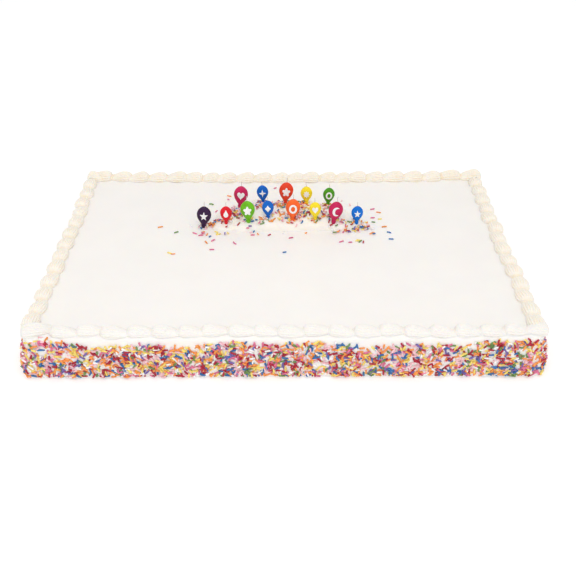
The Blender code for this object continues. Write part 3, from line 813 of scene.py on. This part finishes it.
def candle_stand(number):
    """A candle's place, turn and size, and its ornament's node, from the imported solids."""
    name = f"candle_{number:02d}_"
    body = frame["nodes"][name + "body"]
    places = [vert.co for vert in body.data.vertices]
    top = max(places, key=lambda co: co.z)
    lowest = min(co.z for co in places)
    ring = [co for co in places if co.z < lowest + NECK_RING]
    foot = sum(ring, Vector()) / len(ring)
    up = (top - foot).normalized()
    size = (top - foot).length / (BALLOON_TOP + NECK_SUNK)
    across = Vector((0, 1, 0)).cross(up).normalized()
    ahead = up.cross(across)
    turn = Matrix((across, ahead, up)).transposed().to_4x4()
    stand = Matrix.Translation(foot + up * NECK_SUNK * size) @ turn
    ornament = next(node for node in frame["nodes"]
                    if node.startswith(name) and not node.endswith(("body", "wick")))
    return stand @ Matrix.Scale(size, 4), ornament


def model_balloon():
    """The wax balloon, its neck's visible foot at the origin and its face towards -Y."""
    stations = [(high * MM, wide * MM, deep * MM, 0, 0) for high, wide, deep in BALLOON_STATIONS]
    balloon = pull_form("balloon", BALLOON_SIDES, stations)
    round_off(balloon)
    apply_steps(balloon)
    smooth(balloon, 60)
    return balloon


def model_wick():
    """A thin twisted wick, bending a little to one side."""
    stations = [(BALLOON_TOP + high * MM, WICK_RADIUS, WICK_RADIUS, bend * MM, 0)
                for high, bend in WICK_STATIONS]
    wick = pull_form("wick", WICK_SIDES, stations, WICK_TWIST)
    smooth(wick, 70)
    return wick


def polar_outline(count, radius_at):
    """Points of an outline that goes once round, each radius given by a rule."""
    points = []
    for i in range(count):
        angle = math.pi / 2 + 2 * math.pi * i / count
        radius = radius_at(i, angle)
        points.append((radius * math.cos(angle), radius * math.sin(angle)))
    return points


def heart_outline():
    """A heart, from its curve."""
    points = []
    for i in range(40):
        t = 2 * math.pi * i / 40
        x = 16 * math.sin(t) ** 3
        y = 13 * math.cos(t) - 5 * math.cos(2 * t) - 2 * math.cos(3 * t) - math.cos(4 * t)
        points.append((-x / 17, (y + 2) / 17))
    return points


def moon_outline():
    """A crescent, round its outer arc and back along its inner one."""
    outer = []
    inner = []
    for i in range(17):
        angle = math.radians(55 + 250 * i / 16)
        reach = 1 - (0.07 + 0.58 * math.sin(math.pi * i / 16))
        outer.append((math.cos(angle) + 0.15, math.sin(angle)))
        inner.append((reach * math.cos(angle) + 0.15, reach * math.sin(angle)))
    return outer + inner[::-1]


# The ornaments' outlines. Most give a radius from a point's number and its angle.
ORNAMENTS = {
    "star": polar_outline(10, lambda i, angle: 0.45 if i % 2 else 1.05),
    "sparkle": polar_outline(8, lambda i, angle: 0.38 if i % 2 else 1.1),
    "sun": polar_outline(16, lambda i, angle: 0.66 if i % 2 else 1.0),
    "diamond": polar_outline(8, lambda i, angle: 0.60 if i % 2 else 0.95),
    "flower": polar_outline(60, lambda i, angle: 0.84 + 0.2 * math.cos(math.pi * i / 6)),
    "drop": polar_outline(24, lambda i, angle: 0.72 - 0.08 * math.sin(angle)
                          + (0.61, 0.28, 0.08, 0.0)[min(i, 24 - i, 3)]),
    "ring": polar_outline(40, lambda i, angle: 1.0),
    "heart": heart_outline(),
    "moon": moon_outline(),
}


def model_ornament(shape, balloon):
    """A flat shape laid over the balloon's face, raised from it and rounded at its rim."""
    mesh = bpy.data.meshes.new(shape)
    points = [(x * ORNAMENT_RADIUS, -ORNAMENT_AHEAD,
               ORNAMENT_HEIGHT + y * ORNAMENT_RADIUS * ORNAMENT_STRETCH)
              for x, y in ORNAMENTS[shape]]
    mesh.from_pydata(points, [], [list(range(len(points)))])
    ornament = place_new(shape, mesh)
    edit(ornament)
    pick_all()
    if shape == "ring":
        bpy.ops.mesh.inset(thickness=RING_WIDTH * ORNAMENT_RADIUS)
        bpy.ops.mesh.delete(type="FACE")
        pick_all()
    bpy.ops.mesh.quads_convert_to_tris(quad_method="BEAUTY", ngon_method="BEAUTY")
    bpy.ops.mesh.subdivide(number_cuts=3)
    leave_edit()
    add_step(ornament, "SHRINKWRAP", target=balloon, wrap_method="PROJECT", use_project_y=True,
             use_positive_direction=True, use_negative_direction=False)
    add_step(ornament, "SOLIDIFY", thickness=ORNAMENT_RELIEF + ORNAMENT_ROOT,
             offset=ORNAMENT_SPLIT)
    add_step(ornament, "BEVEL", width=ORNAMENT_RIM, segments=2, angle_limit=math.radians(50))
    apply_steps(ornament)
    edit(ornament)
    pick_all()
    bpy.ops.mesh.normals_make_consistent(inside=False)
    leave_edit()
    smooth(ornament, 50)
    return ornament


def set_in_candles(waxes, white, cotton):
    """Each candle's balloon, wick and ornament, at the place of its solids."""
    balloon = model_balloon()
    wick = model_wick()
    shapes = {}
    stands = []
    candles = sum(node.endswith("_body") for node in frame["nodes"])
    for number in range(1, candles + 1):
        stand, ornament_node = candle_stand(number)
        stands.append(stand)
        shape = ornament_node.rsplit("_", 1)[1]
        if shape not in shapes:
            shapes[shape] = model_ornament(shape, balloon)
        name = f"candle_{number:02d}_"
        pieces = (
            (balloon, "balloon", name + "body", waxes[SLOT_OF[name + "body"]]),
            (wick, "cotton_wick", name + "wick", cotton),
            (shapes[shape], "raised_" + shape, ornament_node, white),
        )
        for model, kind, node, finish in pieces:
            piece = copy_of(model, f"{kind}_{number:02d}")
            piece.matrix_world = stand
            fix_place(piece)
            finish_piece(piece, finish, SLOT_OF[node], node)
    for model in (balloon, wick, *shapes.values()):
        bpy.data.objects.remove(model, do_unlink=True)
    return stands


# The sprinkles

def model_rod(bend):
    """One sugar rod along X with rounded ends, as arrays of points and faces."""
    stations = [(run * ROD_MODEL * MM, ROD_RADIUS * size, ROD_RADIUS * size,
                 bend * MM * (1 - (2 * run) ** 2), 0) for run, size in ROD_STATIONS]
    rod = pull_form("rod", ROD_SIDES, stations)
    rod.rotation_euler = (0, math.pi / 2, 0)
    fix_place(rod)
    points = np.array([vert.co for vert in rod.data.vertices])
    faces = [list(face.vertices) for face in rod.data.polygons]
    bpy.data.objects.remove(rod, do_unlink=True)
    return points, faces


def rod_place(place, normal, direction, length, thickness=1.0):
    """The matrix that lays the modelled rod along a direction on a surface."""
    side = normal.cross(direction).normalized()
    up = direction.cross(side)
    turn = Matrix((direction, side, up)).transposed().to_4x4()
    size = Matrix.Diagonal((length / (ROD_MODEL * MM), thickness, thickness, 1))
    return Matrix.Translation(place) @ turn @ size


def side_path():
    """Points, outward normals and distances round the border's outer edge."""
    points = []
    for sign_x, sign_y, start in ((1, -1, -90), (1, 1, 0), (-1, 1, 90), (-1, -1, 180)):
        centre = Vector((sign_x * (HALF_X - CORNER_RADIUS), sign_y * (HALF_Y - CORNER_RADIUS), 0))
        for step in range(CORNER_STEPS + 1):
            angle = math.radians(start + 90 * step / CORNER_STEPS)
            outward = Vector((math.cos(angle), math.sin(angle), 0))
            points.append((centre + outward * CORNER_RADIUS, outward))
    points.append(points[0])
    runs = [0.0]
    for (a, _), (b, _) in zip(points, points[1:]):
        runs.append(runs[-1] + (b - a).length)
    return points, runs


def at_run(points, runs, run):
    """Place and outward normal at a distance round the edge."""
    index = max(i for i, start in enumerate(runs[:-1]) if start <= run)
    share = (run - runs[index]) / (runs[index + 1] - runs[index])
    (a, out_a), (b, out_b) = points[index], points[index + 1]
    return a.lerp(b, share), out_a.lerp(out_b, share).normalized()


def highest_rod(edge, run):
    """How high the rods reach at a place on the edge: in waves, and more at the front corners."""
    height = BAND_TOP
    for size, rate, start in BAND_WAVES:
        height += size * math.sin(rate * run + start)
    if abs(edge.x) > HALF_X - CORNER_RADIUS / 2:
        height -= BAND_LESS_ON_ENDS
    elif edge.y < 0:
        for corner, rise, reach in BAND_CORNERS:
            height += rise * math.exp(-((edge.x - corner * MM) / (reach * MM)) ** 2)
    return height * MM


def pick_color(neighbours, draw):
    """Mostly from the mix, at times the colour of a rod beside it."""
    if neighbours and draw.random() < LIKE_ITS_NEIGHBOUR:
        return draw.choice(neighbours)
    return draw.choices(list(ROD_MIX), weights=list(ROD_MIX.values()))[0]


def throw_on_sides(surface, draw):
    """Rods all over the four sides, lying on the icing and on each other, with their colours."""
    points, runs = side_path()
    placed = {}
    rods = []
    tries = 0
    while len(rods) < SIDE_RODS and tries < SIDE_RODS * TRIES_A_ROD:
        tries += 1
        run = draw.uniform(0, runs[-1])
        height = draw.uniform(*BAND) * MM
        edge, outward = at_run(points, runs, run)
        if height > highest_rod(edge, run):
            continue
        cell = (int(run / SIDE_ROD_SPACING), int(height / SIDE_ROD_SPACING))
        near = [rod for i in (-1, 0, 1) for j in (-1, 0, 1)
                for rod in placed.get((cell[0] + i, cell[1] + j), ())]
        gaps = [math.hypot(run - near_run, height - near_height)
                for near_run, near_height, _ in near]
        if any(gap < SIDE_ROD_SPACING * draw.uniform(*ROD_GAPS) for gap in gaps):
            continue
        color = pick_color([near_color for _, _, near_color in near], draw)
        placed.setdefault(cell, []).append((run, height, color))
        start = edge + outward * ROD_DROP + Vector((0, 0, height))
        hit = surface.ray_cast(start, -outward, ROD_FALL)[0]
        if hit is None:
            continue
        crowd = sum(gap < CROWD_REACH for gap in gaps)
        length = draw.triangular(*ROD_LENGTHS)
        angle = draw.uniform(0, math.pi)
        along = Vector((-outward.y, outward.x, 0))
        upward = along.cross(outward) * -1
        direction = along * math.cos(angle) + upward * math.sin(angle)
        direction += outward * draw.uniform(*ROD_TILTS) * (1 + crowd * CROWD_TILT)
        direction.normalize()
        more = LONG_SIDE_LIFT if abs(outward.y) > 0.7 else END_LIFT
        place = hit + outward * ((ROD_LIFT + more * min(crowd, CROWD_MOST)) * MM)
        lowest = abs(direction.z) * length / 2 + ROD_RADIUS + max(ROD_BENDS) * MM
        place.z = max(place.z, lowest)
        rods.append((color, rod_place(place, outward, direction, length)))
    return rods


def drop_on(surface, x, y, angle, length, lift, draw):
    """A rod dropped at x, y on whatever lies there."""
    hit, normal, _, _ = surface.ray_cast(Vector((x, y, 1)), Vector((0, 0, -1)))
    tilt = draw.uniform(-TOP_ROD_TILT, TOP_ROD_TILT)
    level = Vector((math.cos(angle), math.sin(angle), tilt))
    direction = (level - normal * level.dot(normal) * TOP_ROD_LIE).normalized()
    above = ROD_RADIUS * TOP_ROD_SUNK + lift
    return rod_place(hit + normal * above, normal, direction, length, TOP_ROD_THICKNESS)


def throw_on_top(surface, stands, draw):
    """Piles round the candles and between the rows, and stray rods over the flat top."""
    feet = [stand.translation for stand in stands]
    rods = []
    for centre_x, centre_y, spread_x, spread_y, count in PILES:
        for _ in range(count):
            x = draw.gauss(centre_x, spread_x * PILE_SPREAD) * MM
            y = draw.gauss(centre_y, spread_y * PILE_SPREAD) * MM
            if any(math.hypot(x - foot.x, (y - foot.y) * CANDLE_ROOM_DEPTH) < CANDLE_ROOM
                   for foot in feet):
                continue
            length = draw.triangular(*TOP_ROD_LENGTHS)
            lift = draw.choice(PILE_LIFTS) * MM
            rod = drop_on(surface, x, y, draw.uniform(0, math.pi), length, lift, draw)
            rods.append((pick_color([], draw), rod))
    for foot in feet:
        for _ in range(RODS_AT_CANDLE):
            turn = draw.uniform(0, 2 * math.pi)
            away = draw.uniform(*STREWN) * MM
            length = draw.triangular(*TOP_ROD_LENGTHS)
            lift = draw.uniform(*STREWN_LIFTS) * MM
            x = foot.x + away * math.cos(turn)
            y = foot.y + away * math.sin(turn)
            rod = drop_on(surface, x, y, draw.uniform(0, math.pi), length, lift, draw)
            rods.append((pick_color([], draw), rod))
    for x, y, degrees, color in LOOSE_RODS:
        length = draw.uniform(*LOOSE_ROD_LENGTHS) * MM
        angle = math.radians(degrees)
        rods.append((color, drop_on(surface, x * MM, y * MM, angle, length, 0, draw)))
    return rods


def build_rods(name, color, places, kinds, draw):
    """All rods of one colour, joined into one mesh."""
    points = []
    faces = []
    for place in places:
        shape, rod_faces = draw.choice(kinds)
        turn = np.array(place @ Matrix.Rotation(draw.uniform(0, 2 * math.pi), 4, "X"))
        start = len(points) * len(shape)
        points.append(shape @ turn[:3, :3].T + turn[:3, 3])
        faces += [[start + corner for corner in face] for face in rod_faces]
    mesh = bpy.data.meshes.new(name)
    mesh.from_pydata(np.concatenate(points).tolist(), [], faces)
    rods = place_new(name, mesh)
    smooth(rods, 50)
    finish_piece(rods, sugar_finish(name + "_sugar", color), "icing")
    return rods


def throw_sprinkles(cake, borders, mound, stands, draw):
    """Every sprinkle, with all those of one colour in one piece."""
    thrown = throw_on_sides(surface_of(cake, *borders), draw)
    thrown += throw_on_top(surface_of(cake, mound), stands, draw)
    kinds = [model_rod(bend) for bend in ROD_BENDS]
    for color in ROD_MIX:
        places = [place for rod_color, place in thrown if rod_color == color]
        build_rods("sprinkles_" + color, SUGAR[color], places, kinds, draw)


# The studio

def lay_floor():
    """A wide white floor, lit a little from within so that it stays white."""
    let_go()
    bpy.ops.mesh.primitive_plane_add(size=FLOOR_SIZE)
    floor = bpy.context.object
    floor.name = "floor"
    material, _, _ = start_material("white_floor", (FLOOR_WHITE,) * 3, {
        "Roughness": 0.9, "Specular IOR Level": 0.1, "Emission Color": (1, 1, 1, 1),
        "Emission Strength": FLOOR_GLOW})
    floor.data.materials.append(material)


def add_softbox(name, place, target, size, energy):
    """A square soft light that looks at a target."""
    light = bpy.data.lights.new(name, "AREA")
    light.size = size
    light.energy = energy
    item = place_new(name, light)
    item.location = place
    item.rotation_euler = (Vector(target) - Vector(place)).to_track_quat("-Z", "Y").to_euler()


def light_the_studio():
    """A white tent, brighter overhead and in front, and one big softbox above the front.

    Seen by the camera itself, the tent is plain white.
    """
    world = bpy.data.worlds.new("studio")
    bpy.context.scene.world = world
    world.use_nodes = True
    tree = world.node_tree
    place = tree.nodes.new("ShaderNodeTexCoord")
    lean = tree.nodes.new("ShaderNodeVectorMath")
    lean.operation = "DOT_PRODUCT"
    lean.inputs[1].default_value = TENT_LEAN
    tree.links.new(place.outputs["Generated"], lean.inputs[0])
    level = tree.nodes.new("ShaderNodeMath")
    level.operation = "ADD"
    level.inputs[1].default_value = TENT_LEVEL
    tree.links.new(lean.outputs["Value"], level.inputs[0])
    seen = tree.nodes.new("ShaderNodeLightPath")
    backdrop = tree.nodes.new("ShaderNodeMix")
    set_inputs(backdrop, {"B": 1.0})
    tree.links.new(seen.outputs["Is Camera Ray"], backdrop.inputs["Factor"])
    tree.links.new(level.outputs["Value"], backdrop.inputs["A"])
    background = tree.nodes["Background"]
    set_inputs(background, {"Color": (1, 1, 1, 1)})
    tree.links.new(backdrop.outputs["Result"], background.inputs["Strength"])
    add_softbox("key", KEY_PLACE, KEY_TARGET, KEY_SIZE, KEY_POWER)


def set_camera():
    """The camera, high in front of the cake."""
    camera = bpy.data.cameras.new("camera")
    camera.lens = CAMERA_LENS
    camera.sensor_width = CAMERA_SENSOR
    item = place_new("camera", camera)
    item.location = CAMERA_PLACE
    item.rotation_euler = (math.radians(90 - CAMERA_PITCH), 0, math.radians(CAMERA_YAW))
    bpy.context.scene.camera = item


def make_the_cake():
    """Every piece in the order in which the cake is made, with the studio round it."""
    draw = random.Random(SEED)
    set_camera()
    light_the_studio()
    lay_floor()
    # Each icing finish carries painted shade in its creases
    icing = icing_finish("buttercream", ICING, PAINTED_CREASE_SHADE)
    piped = icing_finish("piped_buttercream", PIPED_ICING, PAINTED_CREASE_SHADE)
    # The front row's finish is the piped icing painted darker, as shade against the light it
    # catches
    shaded_front = icing_finish("front_piped_buttercream_shaded", FRONT_ICING_SHADED, PAINTED_CREASE_SHADE)
    cake = ice_the_cake()
    finish_piece(cake, icing, "icing", "cake")
    borders = pipe_the_border(shaded_front, piped, draw)
    mound = dollop_mound()
    finish_piece(mound, piped, "icing", "icing_mound")
    waxes = {slot: wax_finish(slot, color) for slot, color in WAX.items()}
    stands = set_in_candles(waxes, wax_finish("white_wax", WHITE_WAX), cotton_finish())
    throw_sprinkles(cake, borders, mound, stands, draw)
    bpy.context.scene.view_settings.view_transform = "Standard"


make_the_cake()
